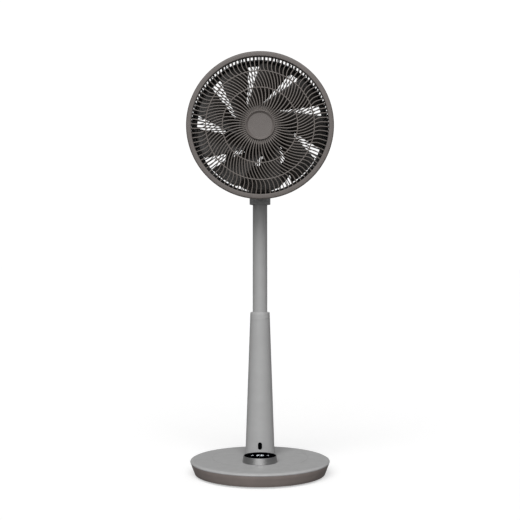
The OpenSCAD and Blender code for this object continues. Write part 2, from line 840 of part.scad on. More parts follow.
// The grille falls from its crown to its rim in three flat zones joined by the two rings, and
// dips round the hub, where a plate closes it behind the ribs.
module front_grille() color(warm_grey) head_frame() {
    slab(crown - dip - 4, crown - dip)
        front_ribs(inner_ribs, hub_cap_r - 3, dip_r + 3, 1, 2.6, true);
    tube(dip_r - 2, 14, crown - dip - 4, crown - dip - 2);
    tube(hub_cap_r - 2, 14, crown - dip - 2.1, crown - dip);
    slab(crown - 4, crown) {
        front_ribs(inner_ribs, dip_r, ring1_r, 3, 2.6, true);
        ring_2d(ring1_r + 1.2, ring1_r - 1.2);
    }
    slab(dome(102) - 4, dome(102)) {
        front_ribs(outer_ribs, ring1_r, ring2_r, 4, 2.4, false);
        ring_2d(ring1_r + 1.2, ring1_r - 1.2);
        ring_2d(ring2_r + 1.2, ring2_r - 1.2);
    }
    slab(dome(140) - 4, dome(140)) {
        front_ribs(outer_ribs, ring2_r, lip_r + 2.4, 4, 2.2, false);
        ring_2d(ring2_r + 1.2, ring2_r - 1.2);
        ring_2d(rim_out_r, lip_r + 0.6);
    }
    tube(rim_out_r, lip_r + 3, ring_f + 2.2, dome(140) - 3.9);
}

// Shallow round dish in the middle of the front grille.
module hub_cap() color("#767069") head_frame() {
    seat = crown - dip + 0.05;
    turned([[0, seat], [0, seat + 1.4], [26.5, seat + 1.4], [hub_cap_r - 1.2, seat + 3.7],
        [hub_cap_r, seat + 3], [hub_cap_r, seat]]);
}

module trim_ring() color("#6f6966") head_frame() {
    front = ring_f + ring_depth;
    turned(concat([[ring_r - 2, ring_f]], arc(ring_r - 3.5, front - 3.5, 3.5, 0, 90, 5),
        [[lip_r + 1.2, front - 0.4], [lip_r, front - 2], [lip_r, front - 3], [lip_r + 4.8, front - 3],
        [lip_r + 4.8, ring_f]]));
}

base_top_cover();
base_skirt();
base_bottom_plate();
ballast_plate();
rubber_feet();
base_screws();
main_board();
power_inlet();
dial_seat();
dial_ring();
display_tray();
display_board();
display_glass();
column_flange();
flange_screws();
inner_tube();
column_shell();
column_cap();
guide_bush();
ir_window();
extension_tube();
tube_slider();
mast_head();
pan_gear();
pan_retainer();
thrust_washer();
neck_collar();
neck_shell();
neck_rear_cover();
pan_bush();
pan_motor();
pan_pinion();
yoke_frame();
yoke_rear_cover();
yoke_screws();
tilt_bushes();
tilt_motor();
tilt_pinion();
tilt_pins();
tilt_gear();
friction_washer();
pod_front_shell();
pod_rear_shell();
pod_screws();
motor_bracket();
stator_core();
stator_coils();
motor_bearings();
motor_board();
rotor_cup();
magnet_ring();
motor_shaft();
impeller();
impeller_nut();
rear_grille();
grille_nut();
front_grille();
hub_cap();
trim_ring();
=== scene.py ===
"""Visual model of a grey pedestal fan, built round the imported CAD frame.

The row frame has its origin on the floor under the base, +Z up, and the fan blows towards -Y.
Lengths are metres, angles are degrees. The head's pieces are written in the head frame: x to the
right, y up and f forward along the fan's axis.
"""

import json
import math

import bpy
import numpy as np
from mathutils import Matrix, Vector


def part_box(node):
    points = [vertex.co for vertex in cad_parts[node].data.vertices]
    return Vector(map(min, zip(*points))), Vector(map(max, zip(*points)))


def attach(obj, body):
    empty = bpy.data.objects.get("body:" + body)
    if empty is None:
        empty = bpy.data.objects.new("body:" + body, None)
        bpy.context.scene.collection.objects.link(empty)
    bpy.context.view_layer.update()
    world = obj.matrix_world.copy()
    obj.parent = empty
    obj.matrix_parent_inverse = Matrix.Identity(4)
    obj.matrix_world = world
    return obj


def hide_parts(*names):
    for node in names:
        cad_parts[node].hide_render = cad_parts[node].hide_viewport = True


MM = 0.001

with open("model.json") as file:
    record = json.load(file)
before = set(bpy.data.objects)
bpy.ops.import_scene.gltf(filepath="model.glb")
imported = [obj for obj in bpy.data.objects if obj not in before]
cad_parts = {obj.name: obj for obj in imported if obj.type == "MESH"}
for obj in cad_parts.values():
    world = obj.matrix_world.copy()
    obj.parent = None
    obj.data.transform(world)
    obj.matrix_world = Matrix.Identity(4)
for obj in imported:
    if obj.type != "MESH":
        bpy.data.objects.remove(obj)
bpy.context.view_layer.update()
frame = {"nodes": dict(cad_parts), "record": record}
nodes = frame["nodes"]


def middle(node):
    """Centre of a CAD node's box."""
    low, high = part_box(node)
    return (low + high) / 2


# ---- measures taken from the frame --------------------------------------------------------

ring_low, ring_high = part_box("trim_ring")
head_z = middle("trim_ring").z
ring_r = (ring_high.x - ring_low.x) / 2
ring_front = -ring_low.y
ring_back = -ring_high.y
crown_rise = 1.23 * MM  # of the dome's crown, were it not dipped, over the front guard's CAD node
crown_f = -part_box("front_grille")[0].y + crown_rise
band_proud = 3 * MM  # how far the rear guard's closed band stands behind the middle of its bars
back_f = -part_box("rear_grille")[1].y + band_proud  # forward place of the rear bars' flat back
hub_r = 52 * MM
dial_y = middle("dial_ring").y
glass_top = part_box("display_glass")[1].z


# ---- mesh helpers -------------------------------------------------------------------------


def polar(r, degrees):
    """Point of a circle, with the angle counted against the clock from +x."""
    return r * np.cos(np.radians(degrees)), r * np.sin(np.radians(degrees))


def head_place(x, y, f):
    """Row-frame points of head-frame coordinates."""
    return np.stack([x, -f, y + head_z], -1)


def smooth_by_angle(mesh):
    mesh.shade_smooth()
    mesh.set_sharp_from_angle(angle=math.radians(40))


def make_piece(name, points, faces, body, slot, replaced=()):
    """A mesh piece that rides on a body, takes its finish from a slot and may stand for CAD nodes."""
    mesh = bpy.data.meshes.new(name)
    mesh.from_pydata(np.asarray(points).tolist(), [], [list(map(int, f)) for f in faces])
    mesh.validate()
    smooth_by_angle(mesh)
    piece = bpy.data.objects.new(name, mesh)
    bpy.context.scene.collection.objects.link(piece)
    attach(piece, body)
    if replaced:
        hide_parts(*replaced)
    mesh.materials.append(finishes[slot])
    return piece


def rounded(corners, steps=6):
    """Closed outline from (u, v, radius) corners, each turned by an arc of its radius."""
    straight = math.radians(178)
    most_of_a_side = 0.49  # so that the arcs at both ends of a side never meet
    outline = []
    count = len(corners)
    for i, (u, v, radius) in enumerate(corners):
        here = Vector((u, v))
        before = Vector(corners[i - 1][:2]) - here
        after = Vector(corners[(i + 1) % count][:2]) - here
        turn = before.angle(after)
        if radius <= 0 or turn > straight:
            outline.append((u, v))
            continue
        shorter = min(before.length, after.length)
        reach = min(radius / math.tan(turn / 2), most_of_a_side * shorter)
        before.normalize()
        after.normalize()
        centre = here + (before + after).normalized() * (reach / math.cos(turn / 2))
        spoke = here + before * reach - centre
        sweep = spoke.angle_signed(here + after * reach - centre)
        for k in range(steps + 1):
            cos, sin = math.cos(-sweep * k / steps), math.sin(-sweep * k / steps)
            u_now = centre.x + spoke.x * cos - spoke.y * sin
            v_now = centre.y + spoke.x * sin + spoke.y * cos
            outline.append((u_now, v_now))
    return outline


def turned(outline, segments):
    """Points and faces of a closed (radius, forward) outline turned about the fan's axis."""
    on_axis = 1e-6
    angles = np.arange(segments) * 360 / segments
    points, rings = [], []
    for r, f in outline:
        if r < on_axis:
            rings.append([len(points)])
            points.extend(head_place(np.zeros(1), np.zeros(1), np.full(1, f)))
        else:
            rings.append(list(range(len(points), len(points) + segments)))
            x, y = polar(r, angles)
            points.extend(head_place(x, y, np.full(segments, f)))
    faces = []
    for i, ring in enumerate(rings):
        other = rings[(i + 1) % len(rings)]
        for k in range(segments):
            n = (k + 1) % segments
            if len(ring) > 1 and len(other) > 1:
                faces.append((ring[k], ring[n], other[n], other[k]))
            elif len(ring) > 1:
                faces.append((ring[k], ring[n], other[0]))
            elif len(other) > 1:
                faces.append((ring[0], other[n], other[k]))
    return np.array(points), faces


def swept(centres, across, up, section):
    """Closed bars: (bars, stations, 3) centre lines with unit vectors across and up them, and a
    section of (across, up) points that runs round the bar."""
    bars, stations = centres.shape[:2]
    section = np.asarray(section)
    around = len(section)
    points = (
        centres[:, :, None, :]
        + across[:, :, None, :] * section[None, None, :, 0:1]
        + up[:, :, None, :] * section[None, None, :, 1:2]
    ).reshape(-1, 3)
    faces = []
    for b in range(bars):
        first = b * stations * around
        for s in range(stations - 1):
            row = first + s * around
            for k in range(around):
                n = (k + 1) % around
                faces.append((row + k, row + n, row + around + n, row + around + k))
        faces.append(tuple(range(first + around - 1, first - 1, -1)))
        last = first + (stations - 1) * around
        faces.append(tuple(range(last, last + around)))
    return points, faces


def joined(*parts):
    """One mesh out of several (points, faces) pairs."""
    points, faces, offset = [], [], 0
    for part_points, part_faces in parts:
        points.append(np.asarray(part_points))
        faces.extend(tuple(i + offset for i in face) for face in part_faces)
        offset += len(part_points)
    return np.concatenate(points), faces


def turned_ring(middle_r, front_f, half_w, depth, round_r, segments=256):
    """A rounded hoop of the head, from its middle radius and the forward place of its front."""
    corners = [
        (middle_r - half_w, front_f - depth, round_r / 2),
        (middle_r + half_w, front_f - depth, round_r / 2),
        (middle_r + half_w, front_f, round_r),
        (middle_r - half_w, front_f, round_r),
    ]
    return turned(rounded(corners, 4), segments)


# ---- finishes -----------------------------------------------------------------------------


def display_grey(*levels):
    """Scene-linear colour of three display levels from 0 to 255, by the sRGB curve."""
    linear = (v / 255 / 12.92 if v <= 10 else ((v / 255 + 0.055) / 1.055) ** 2.4 for v in levels)
    return (*linear, 1.0)


class Finish:
    """A node material whose shader is fed by procedural textures in the piece's own space."""

    def __init__(self, name, metallic=0.0, ior=1.46, coat=0.0):
        self.material = bpy.data.materials.new(name)
        self.material.use_nodes = True
        self.tree = self.material.node_tree
        self.shader = self.tree.nodes["Principled BSDF"]
        self.shader.inputs["Metallic"].default_value = metallic
        self.shader.inputs["IOR"].default_value = ior
        self.shader.inputs["Coat Weight"].default_value = coat
        self.space = self.tree.nodes.new("ShaderNodeTexCoord").outputs["Object"]

    def noise(self, size, detail, stretch=(1, 1, 1)):
        """Noise whose blobs are about the given size in metres."""
        mapping = self.tree.nodes.new("ShaderNodeMapping")
        mapping.inputs["Scale"].default_value = stretch
        self.tree.links.new(self.space, mapping.inputs["Vector"])
        node = self.tree.nodes.new("ShaderNodeTexNoise")
        node.inputs["Scale"].default_value = 1 / size
        node.inputs["Detail"].default_value = detail
        self.tree.links.new(mapping.outputs["Vector"], node.inputs["Vector"])
        return node.outputs["Fac"]

    def ramp(self, source, low, high):
        """Colour that turns from low to high over the middle of the noise's range."""
        node = self.tree.nodes.new("ShaderNodeValToRGB")
        for stop, place, colour in zip(node.color_ramp.elements, (0.35, 0.65), (low, high)):
            stop.position = place
            stop.color = colour
        self.tree.links.new(source, node.inputs["Fac"])
        return node.outputs["Color"]

    def colour(self, base, spread, size=18 * MM):
        """Base colour that drifts softly by a share of itself."""
        low = tuple(c * (1 - spread) for c in base[:3]) + (1,)
        high = tuple(min(c * (1 + spread), 1) for c in base[:3]) + (1,)
        drift = self.ramp(self.noise(size, 4), low, high)
        self.tree.links.new(drift, self.shader.inputs["Base Color"])

    def roughness(self, value, spread=0.05, size=9 * MM, stretch=(1, 1, 1)):
        """Roughness that drifts by a spread to both sides of its value."""
        low = (value - spread,) * 3 + (1,)
        high = (value + spread,) * 3 + (1,)
        drift = self.ramp(self.noise(size, 5, stretch), low, high)
        self.tree.links.new(drift, self.shader.inputs["Roughness"])

    def grain(self, source, depth, under=None):
        """Relief of a depth in metres, laid over the relief under it if there is one."""
        bump = self.tree.nodes.new("ShaderNodeBump")
        bump.inputs["Strength"].default_value = 1.0
        bump.inputs["Distance"].default_value = depth
        self.tree.links.new(source, bump.inputs["Height"])
        if under:
            self.tree.links.new(under, bump.inputs["Normal"])
        self.tree.links.new(bump.outputs["Normal"], self.shader.inputs["Normal"])
        return bump.outputs["Normal"]


def moulded(name, colour, roughness, grain_size=0.7 * MM, depth=0.03 * MM, spread=0.04):
    """Moulded plastic: fine spark-eroded texture over faint flow marks."""
    finish = Finish(name)
    finish.colour(colour, spread)
    finish.roughness(roughness)
    waves = finish.grain(finish.noise(24 * MM, 2), 0.12 * MM)
    finish.grain(finish.noise(grain_size, 2), depth, under=waves)
    return finish.material


def painted(name, colour):
    """Satin powder paint with a fine orange-peel skin."""
    finish = Finish(name, coat=0.12)
    finish.shader.inputs["Coat Roughness"].default_value = 0.35
    finish.colour(colour, 0.025, 30 * MM)
    finish.roughness(0.48, 0.04)
    peel = finish.grain(finish.noise(2.4 * MM, 2), 0.035 * MM)
    finish.grain(finish.noise(0.5 * MM, 2), 0.012 * MM, under=peel)
    return finish.material


def metal(name, colour, roughness, stretch=(1, 1, 1), size=1.2 * MM, depth=0.01 * MM):
    """Bare metal with tool marks drawn out along the stretched axis."""
    finish = Finish(name, metallic=1.0)
    finish.colour(colour, 0.06, 6 * MM)
    finish.roughness(roughness, 0.08, 3 * MM, stretch)
    finish.grain(finish.noise(size, 3, stretch), depth)
    return finish.material


def brushed_dial(name, colour):
    """Turned aluminium: hairlines that run round the dial."""
    finish = Finish(name, metallic=1.0)
    round_about = (0.03, 0.03, 1.0)
    lines = finish.noise(0.35 * MM, 4, round_about)
    low = tuple(c * 0.9 for c in colour[:3]) + (1,)
    finish.tree.links.new(finish.ramp(lines, low, colour), finish.shader.inputs["Base Color"])
    finish.roughness(0.36, 0.06, 0.4 * MM, round_about)
    finish.grain(lines, 0.012 * MM)
    finish.shader.inputs["Anisotropic"].default_value = 0.5
    return finish.material


def glossy(name, colour):
    """Black cover whose skin mirrors nothing, with the faintest haze of fingerprints."""
    finish = Finish(name, ior=1.5)
    finish.shader.inputs["Specular IOR Level"].default_value = 0.0
    finish.colour(colour, 0.2, 12 * MM)
    finish.roughness(0.16, 0.04, 14 * MM)
    finish.grain(finish.noise(30 * MM, 1), 0.01 * MM)
    return finish.material


def glowing(name, colour, strength):
    """Lit display element, a little uneven as a diffused light is."""
    finish = Finish(name)
    finish.colour(colour, 0.05, 1 * MM)
    dimmer = tuple(0.8 * c for c in colour[:3]) + (1,)
    glow = finish.ramp(finish.noise(1.5 * MM, 1), dimmer, colour)
    finish.tree.links.new(glow, finish.shader.inputs["Emission Color"])
    finish.shader.inputs["Emission Strength"].default_value = strength
    return finish.material


# One finish for every material slot of the record.
finishes = {
    "cover_plastic": moulded("cover_plastic", display_grey(167, 167, 167), 0.5),
    "skirt_plastic": moulded("skirt_plastic", display_grey(124, 115, 111), 0.58),
    "column_paint": painted("column_paint", display_grey(161, 161, 161)),
    "head_plastic": moulded("head_plastic", display_grey(98, 92, 89), 0.46),
    "grille_plastic": moulded("grille_plastic", display_grey(103, 97, 93), 0.44, depth=0.015 * MM),
    "rear_grille_plastic": moulded("rear_grille_plastic", display_grey(12, 11, 11), 0.45),
    "blade_plastic": moulded("blade_plastic", display_grey(30, 26, 23), 0.42),
    "black_plastic": moulded("black_plastic", display_grey(34, 34, 34), 0.55),
    "white_plastic": moulded("white_plastic", display_grey(222, 220, 213), 0.4),
    "dial_metal": brushed_dial("dial_metal", display_grey(158, 158, 158)),
    "display_glass": glossy("display_glass", display_grey(3, 3, 4)),
    "steel": metal("steel", display_grey(198, 199, 202), 0.3, (1, 1, 0.2)),
    "iron": metal("iron", display_grey(80, 80, 83), 0.6, size=2.5 * MM, depth=0.08 * MM),
    "alloy": metal("alloy", display_grey(190, 190, 192), 0.45, size=1.8 * MM, depth=0.04 * MM),
    "laminations": metal("laminations", display_grey(140, 141, 144), 0.4, (0.05, 1, 0.05), 0.5 * MM),
    "copper_wire": metal("copper_wire", display_grey(202, 128, 84), 0.3, (1, 1, 0.1), 0.5 * MM),
    "ferrite": moulded("ferrite", display_grey(60, 60, 64), 0.6, 0.4 * MM),
    "board": moulded("board", display_grey(52, 104, 66), 0.35, 1.2 * MM, 0.02 * MM, 0.12),
    "rubber": moulded("rubber", display_grey(38, 38, 38), 0.75, 0.5 * MM, 0.05 * MM),
}


def finish_cad_nodes():
    """Gives every CAD node the finish of its slot."""
    for part in frame["record"]["subparts"]:
        node = nodes[part["node"]]
        node.data.materials.clear()
        node.data.materials.append(finishes[part["material_slot"]])
        for polygon in node.data.polygons:
            polygon.material_index = 0


def soften(name, width):
    """Small moulded radii along a CAD node's edges."""
    node = nodes[name]
    weld = node.modifiers.new("weld", "WELD")
    weld.merge_threshold = 0.002 * MM
    bevel = node.modifiers.new("soft edges", "BEVEL")
    bevel.width = width
    bevel.segments = 2
    bevel.limit_method = "ANGLE"
    bevel.angle_limit = math.radians(35)
    bevel.harden_normals = True


# ---- front guard --------------------------------------------------------------------------

ring_face_w = 11.6 * MM  # width of the trim ring as seen from the front
guard_lip_r = ring_r - ring_face_w
crown_drop = 8 * MM  # of the dome from its crown to the lip
hub_dip = 3.6 * MM
dip_r, dip_run = 34 * MM, 12 * MM  # where the dip is deepest, and how far out it reaches from there
first_ring_r = 83.2 * MM
second_ring_r = 120.3 * MM
inner_ribs = 55
outer_ribs = 90
rib_w = 2.5 * MM
outer_rib_w = 2.25 * MM
rib_depth = 4.6 * MM
hoop_proud = 0.25 * MM  # how far the two hoops stand out of the ribs
hub_edge_r = 29 * MM  # where the ribs start under the hub dish


def dome(r):
    """Forward place of the guard's front at a radius."""
    return crown_f - crown_drop * (r / guard_lip_r) ** 2


def dipped(r):
    """The dome with the dip that runs round the hub."""
    share = np.clip((r - dip_r) / dip_run, 0, 1)
    return dome(r) - hub_dip * (1 - share * share * (3 - 2 * share))


def sweep_in(r):
    """Turn in degrees of the ribs inside the first hoop: straight at the hub, then curling."""
    straight_to = 44.2 * MM
    return -1.6 + 0.0143 * np.maximum(0, (r - straight_to) / MM) ** 1.66


def sweep_out(r):
    """Turn in degrees of the ribs outside the first hoop: leaning, then straight to the rim."""
    d = r / MM
    leave, lean, turn, end = 83.1, 91, 119.4, 135.5  # radii in mm from which each curve holds
    leaving = -1.67 + 0.19 * (d - leave) + 0.0051 * (d - leave) ** 2
    leaning = 0.17 + 0.272 * (d - lean) + 0.0009 * (d - lean) ** 2
    turning = 8.61 + 0.3076 * (d - turn) - 0.00955 * (d - turn) ** 2
    straight = 11.09 - 0.025 * (d - end)
    return np.select([d < lean, d < turn, d < end], [leaving, leaning, turning], straight)


def rib_section(width):
    """Rib section: rounded front and a slightly narrower, flat back."""
    half = width / 2
    crest, back_half = half * 0.8, half * 0.72
    arc = [
        (half * math.cos(a), crest * math.sin(a) - crest) for a in np.linspace(0, math.pi, 11)
    ]
    return arc + [(-back_half, -rib_depth), (back_half, -rib_depth)]


def guard_ribs(count, inner_r, outer_r, stations, sweep, width):
    """Curved ribs between two radii that follow the dome."""
    radii = np.linspace(inner_r, outer_r, stations)
    starts = np.arange(count)[:, None] * 360 / count
    degrees = starts + sweep(radii)[None, :]
    x, y = polar(radii[None, :], degrees)
    centres = head_place(x, y, np.broadcast_to(dipped(radii), x.shape))
    along = np.gradient(centres, axis=1)
    along /= np.linalg.norm(along, axis=2, keepdims=True)
    forward = np.zeros_like(centres)
    forward[..., 1] = -1
    across = np.cross(along, forward)
    across /= np.linalg.norm(across, axis=2, keepdims=True)
    return swept(centres, across, forward, rib_section(width))


def make_front_guard():
    """Two sets of ribs, the two hoops between and over them, the hub's seat and the rim."""
    seat_r = 22 * MM
    parts = [
        guard_ribs(inner_ribs, hub_edge_r, first_ring_r, 22, sweep_in, rib_w),
        guard_ribs(outer_ribs, first_ring_r, guard_lip_r + 3 * MM, 34, sweep_out, outer_rib_w),
    ]
    parts += [
        turned_ring(r, dome(r) + hoop_proud, rib_w / 2, rib_depth, 1.1 * MM)
        for r in (first_ring_r, second_ring_r)
    ]
    parts += [
        turned_ring(seat_r, dipped(seat_r) - 1.6 * MM, 8 * MM, 3 * MM, 0.6 * MM, 96),
        turned_ring(hub_edge_r, dipped(hub_edge_r) - 2.2 * MM, 13 * MM, 2 * MM, 0.6 * MM, 128),
    ]
    rim_in, rim_out = guard_lip_r + 0.6 * MM, guard_lip_r + 4.4 * MM
    rim_front = dome(guard_lip_r) + 0.1 * MM
    rim_back = ring_back + 2.2 * MM
    rim = [
        (rim_in, rim_back, 0.6 * MM),
        (rim_out, rim_back, 0.6 * MM),
        (rim_out, rim_front, 0.6 * MM),
        (rim_in, rim_front, 1.0 * MM),
    ]
    parts.append(turned(rounded(rim, 4), 256))
    return make_piece("front_guard", *joined(*parts), "head", "grille_plastic", ["front_grille"])


# ---- rear guard ---------------------------------------------------------------------------

rear_bars = 117
bar_w = 2.4 * MM
side_bar_w = 3.6 * MM
side_bar = 3.2 * MM  # radial depth of the side wall
wall_out_r = 155.2 * MM
band_in_r = wall_out_r - 11.6 * MM  # inner edge of the closed band, on the flat back
band_f = 19 * MM  # how far forward of the back the closed band reaches
bar_bend = 7 * MM  # radius by which the bars turn from the back into the side wall
plate_in_r, plate_out_r = 22.3 * MM, 62 * MM  # the closed plate in the middle of the back


def make_rear_guard():
    """Radial bars that run out over the flat back, bend and come forward as the side wall."""
    side_r = wall_out_r - side_bar / 2
    bend_r, bend_f = side_r - bar_bend, back_f + bar_bend  # centre of the bend
    line = [(plate_out_r - 2 * MM, back_f)]
    line += [(r, back_f) for r in np.linspace(90 * MM, bend_r, 4)]
    for a in np.radians(np.linspace(15, 90, 6)):
        line.append((bend_r + bar_bend * math.sin(a), bend_f - bar_bend * math.cos(a)))
    side_start = len(line) - 1
    line += [(side_r, f) for f in np.linspace(bend_f + bar_bend, ring_back - 2 * MM, 4)]
    line = np.array(line)
    along = np.gradient(line, axis=0)
    along /= np.linalg.norm(along, axis=1, keepdims=True)
    angles = np.arange(rear_bars) * 360 / rear_bars
    cos, sin = np.cos(np.radians(angles))[:, None], np.sin(np.radians(angles))[:, None]
    forward = np.broadcast_to(line[:, 1], (rear_bars, len(line)))
    centres = head_place(line[:, 0] * cos, line[:, 0] * sin, forward)
    # the cage's outward normal, from its parts along the radius and along -Y
    out_r, out_y = along[:, 1], np.broadcast_to(along[:, 0], (rear_bars, len(line)))
    outward = np.stack([out_r * cos, out_y, out_r * sin], -1)
    across = np.broadcast_to(np.stack([-sin, np.zeros_like(sin), cos], -1), centres.shape)
    half_d = side_bar / 2
    parts = []
    for half_w, stations in ((bar_w / 2, slice(None)), (side_bar_w / 2, slice(side_start, None))):
        corners = [
            (-half_w, -half_d, 0.5 * MM),
            (half_w, -half_d, 0.5 * MM),
            (half_w, half_d, 1.0 * MM),
            (-half_w, half_d, 1.0 * MM),
        ]
        bars = (centres[:, stations], across[:, stations], outward[:, stations])
        parts.append(swept(*bars, rounded(corners, 2)))
    band_back, band_face = back_f - band_proud, back_f + 1.8 * MM
    band = [
        (band_in_r, band_back, 0.8 * MM),
        (wall_out_r, band_back, 2.2 * MM),
        (wall_out_r, back_f + band_f, 0.8 * MM),
        (wall_out_r - side_bar, back_f + band_f, 0.8 * MM),
        (wall_out_r - side_bar, band_face, 0.8 * MM),
        (band_in_r, band_face, 0.8 * MM),
    ]
    parts.append(turned(rounded(band), 256))
    rim_in, rim_out = wall_out_r - 1.0 * MM, ring_r - 6.4 * MM
    rim_back, rim_front = ring_back - 4 * MM, ring_back + 2 * MM
    rim = [
        (rim_in, rim_back, 0.8 * MM),
        (rim_out, rim_back, 0.8 * MM),
        (rim_out, rim_front, 0.4 * MM),
        (rim_in, rim_front, 0.4 * MM),
    ]
    parts.append(turned(rounded(rim, 4), 256))
    plate_back, plate_front = back_f - 2 * MM, back_f + 1.6 * MM
    plate = [
        (plate_in_r, plate_back, 0.5 * MM),
        (plate_out_r - 8 * MM, plate_back, 0.8 * MM),
        (plate_out_r, plate_back, 1.2 * MM),
        (plate_out_r, plate_front, 1.2 * MM),
        (plate_in_r, plate_front, 0.5 * MM),
    ]
    parts.append(turned(rounded(plate, 4), 128))
    return make_piece("rear_guard", *joined(*parts), "head", "rear_grille_plastic", ["rear_grille"])


# ---- impeller -----------------------------------------------------------------------------

blade_count = 9
blade_r = 143 * MM
blade_f = 48 * MM
blade_rows = 26
blade_cols = 22
gap_offset = 37 * MM  # how far the gaps between the blades pass from the axis
blade_camber = 3.5 * MM
tip_run = 4 * MM  # length over which a blade's tip thins and narrows
root_sink = 2 * MM  # how deep a blade's root reaches into the hub
root_flare = 3.5 * MM  # length over which the extra thickness at the root dies away
wheel_back, wheel_front = 24 * MM, 66 * MM  # forward places of the hub's open back and its face
bore_r, boss_r = 4.1 * MM, 9 * MM
hub_wall = 2.4 * MM


def blade_section(r):
    """Middle angle, half angle and rise of a blade at a radius. The gaps between the blades run
    straight, well off the axis, so the blades lean round the hub."""
    share = (r - hub_r) / (blade_r - hub_r)
    middle_angle = math.degrees(math.asin(gap_offset / r)) + 180 / blade_count
    return middle_angle, 17.4 - 3.0 * share, (10 - 1.5 * share) * MM


def blade_rows_of(start):
    """Rows of closed sections of one blade, from its root to its tip."""
    root_r = hub_r - root_sink
    rows = []
    for k in range(blade_rows + 1):
        r = root_r + (blade_r - root_r) * (k / blade_rows) ** 0.85
        mid, half, rise = blade_section(r)
        tip = max(0.0, (r - (blade_r - tip_run)) / tip_run)
        half *= 1 - 0.05 * tip**3
        thick = (1.0 + 1.5 * math.exp(-max(0, r - hub_r) / root_flare)) * MM
        thick *= math.sqrt(max(0.06, 1 - tip**6))
        v = -np.cos(np.linspace(0, math.pi, blade_cols + 1))
        x, y = polar(r, start + mid + v * half)
        camber = blade_camber * (1 - v**2)
        shell = thick * np.sqrt(np.clip(1 - v**8, 0, 1))
        f = blade_f + v * rise + camber
        back = head_place(x, y, f - shell)
        front = head_place(x, y, f + shell)
        rows.append(np.concatenate([back, front[-2:0:-1]]))
    return rows


def lofted(rows):
    """Closed skin over rows of closed sections."""
    around = len(rows[0])
    faces = []
    for k in range(len(rows) - 1):
        for i in range(around):
            a, b = k * around + i, k * around + (i + 1) % around
            faces.append((a, b, b + around, a + around))
    faces.append(tuple(range(around - 1, -1, -1)))
    last = (len(rows) - 1) * around
    faces.append(tuple(range(last, last + around)))
    return np.concatenate(rows), faces


def make_impeller():
    """A cup-shaped hub with a boss for the motor's shaft, and its blades."""
    boss_back = 40 * MM
    hub = [
        (hub_r, wheel_back, 0.8 * MM),
        (hub_r, wheel_front - 7.5 * MM, 5 * MM),
        (hub_r - 5 * MM, wheel_front - 2.2 * MM, 4 * MM),
        (boss_r + 3 * MM, wheel_front, 1 * MM),
        (boss_r, wheel_front, 0),
        (bore_r, wheel_front, 0.3 * MM),
        (bore_r, boss_back, 0.3 * MM),
        (boss_r, boss_back, 0.8 * MM),
        (boss_r, wheel_front - 3.6 * MM, 1 * MM),
        (hub_r - 8 * MM, wheel_front - 5.6 * MM, 3 * MM),
        (hub_r - hub_wall, wheel_front - 10 * MM, 3 * MM),
        (hub_r - hub_wall, wheel_back, 0.8 * MM),
    ]
    parts = [turned(rounded(hub), 144)]
    parts += [lofted(blade_rows_of(i * 360 / blade_count)) for i in range(blade_count)]
    return make_piece("fan_wheel", *joined(*parts), "rotor", "blade_plastic", ["impeller"])


# ---- trim ring and hub dish ---------------------------------------------------------------


def make_trim_ring():
    """The ring round the head: a tapering wall with a lip that turns in over the guard's rim."""
    lip_back = ring_front - 3 * MM
    wall_in_r = guard_lip_r + 4.8 * MM
    outline = [
        (ring_r - 2 * MM, ring_back, 0.8 * MM),
        (ring_r, ring_front, 3.4 * MM),
        (guard_lip_r, ring_front, 1.6 * MM),
        (guard_lip_r, lip_back, 0.5 * MM),
        (wall_in_r, lip_back, 0.6 * MM),
        (wall_in_r, ring_back, 0.6 * MM),
    ]
    skin = turned(rounded(outline, 8), 256)
    return make_piece("head_ring", *skin, "head", "head_plastic", ["trim_ring"])


def make_hub_dish():
    """The dished cap over the middle of the front guard."""
    rim_r, back_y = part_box("hub_cap")[1].x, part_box("hub_cap")[1].y
    seat = -back_y
    floor_f = seat + 0.6 * MM
    outline = [
        (0, seat, 0),
        (0, floor_f, 0),
        (27.2 * MM, floor_f, 1.2 * MM),
        (31.6 * MM, seat + 4.4 * MM, 0.8 * MM),
        (rim_r, seat + 3.5 * MM, 0.8 * MM),
        (rim_r, seat, 0.3 * MM),
    ]
    skin = turned(rounded(outline, 6), 128)
    return make_piece("hub_dish", *skin, "head", "head_plastic", ["hub_cap"])


# ---- display ------------------------------------------------------------------------------

# Bars of a seven-segment digit: where a bar's middle lies, across in widths of the digit and up in
# half heights, and whether the bar lies flat.
DIGIT_BARS = {
    "a": (0, 1, True),
    "f": (-0.5, 0.5, False),
    "b": (0.5, 0.5, False),
    "g": (0, 0, True),
    "e": (-0.5, -0.5, False),
    "c": (0.5, -0.5, False),
    "d": (0, -1, True),
}
DIGITS = {"2": "abged", "6": "afgedc"}


def tablet(x, y, half_x, half_y, turn=0.0):
    """Thin rounded tablet that lies on the display's glass."""
    top = glass_top + 0.12 * MM
    foot = glass_top - 0.2 * MM
    edge_r = min(half_x, half_y) * 0.8
    signs = ((-1, -1), (1, -1), (1, 1), (-1, 1))
    outline = rounded([(u * half_x, v * half_y, edge_r) for u, v in signs], 4)
    cos, sin = math.cos(math.radians(turn)), math.sin(math.radians(turn))
    flat = [(x + u * cos - v * sin, y + u * sin + v * cos) for u, v in outline]
    count = len(flat)
    points = [(u, v, foot) for u, v in flat] + [(u, v, top) for u, v in flat]
    faces = [(k, (k + 1) % count, (k + 1) % count + count, k + count) for k in range(count)]
    faces += [tuple(range(count - 1, -1, -1)), tuple(range(count, 2 * count))]
    return np.array(points), faces


